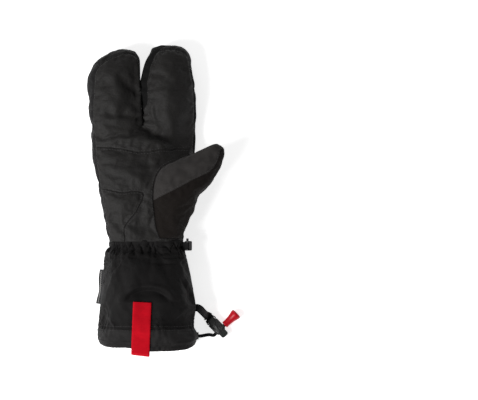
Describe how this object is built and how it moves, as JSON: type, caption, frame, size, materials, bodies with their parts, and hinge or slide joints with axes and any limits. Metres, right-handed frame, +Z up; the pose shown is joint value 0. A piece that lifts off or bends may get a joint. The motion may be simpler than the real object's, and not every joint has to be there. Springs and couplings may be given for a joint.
{
  "type": "insulated lobster claw mitt",
  "caption": "Insulated right-hand mitt with two finger compartments, a thumb, a gathered wrist and a long gauntlet with drawcord, cord lock and pull tab.",
  "frame": {"origin": "on the surface it lies on, under the middle of the mitt without its drawcord and what is on it", "axes": "+X towards the thumb, +Y towards the fingertips, +Z up out of the palm"},
  "size_m": [0.1678, 0.34, 0.0624],
  "materials": {
    "palm_leather": "soft matt synthetic leather",
    "woven_nylon": "woven shell, matt",
    "thumb_suede": "napped, matt",
    "gauntlet_nylon": "woven shell, slight sheen",
    "red_ribbon": "grosgrain ribbon",
    "red_rubber": "moulded, satin",
    "black_webbing": "woven tape",
    "black_plastic": "moulded, satin",
    "cord_sheath": "braided elastic",
    "label_tape": "woven label"
  },
  "bodies": {
    "mitt": {"palm_fingers": "palm_leather", "palm_middle": "palm_leather", "palm_heel": "palm_leather", "back_panel": "woven_nylon", "index_side_strip": "woven_nylon", "finger_slit_strip": "woven_nylon", "index_tip_cap": "palm_leather", "ring_tip_cap": "palm_leather", "thumb_front": "thumb_suede", "thumb_gusset": "woven_nylon", "gauntlet_palm_half": "gauntlet_nylon", "gauntlet_back_half": "gauntlet_nylon", "hem_casing": "gauntlet_nylon", "pull_tab": "red_ribbon", "side_label": "label_tape", "wrist_clip": "black_plastic", "clip_webbing": "black_webbing", "lock_webbing": "black_webbing", "cord_guide": "black_plastic", "cord_lock_body": "black_plastic", "cord_end": "red_rubber", "drawcord_upper": "cord_sheath", "drawcord_lower": "cord_sheath"},
    "plunger": {"cord_lock_plunger": "black_plastic"}
  },
  "joints": [
    {"name": "plunger_press", "type": "slide", "parent": "mitt", "child": "plunger", "axis": [-0.6947, 0.7193, 0], "range_m": [0, 0.003], "stiffness_N_per_m": 300, "springref_m": -0.003}
  ]
}
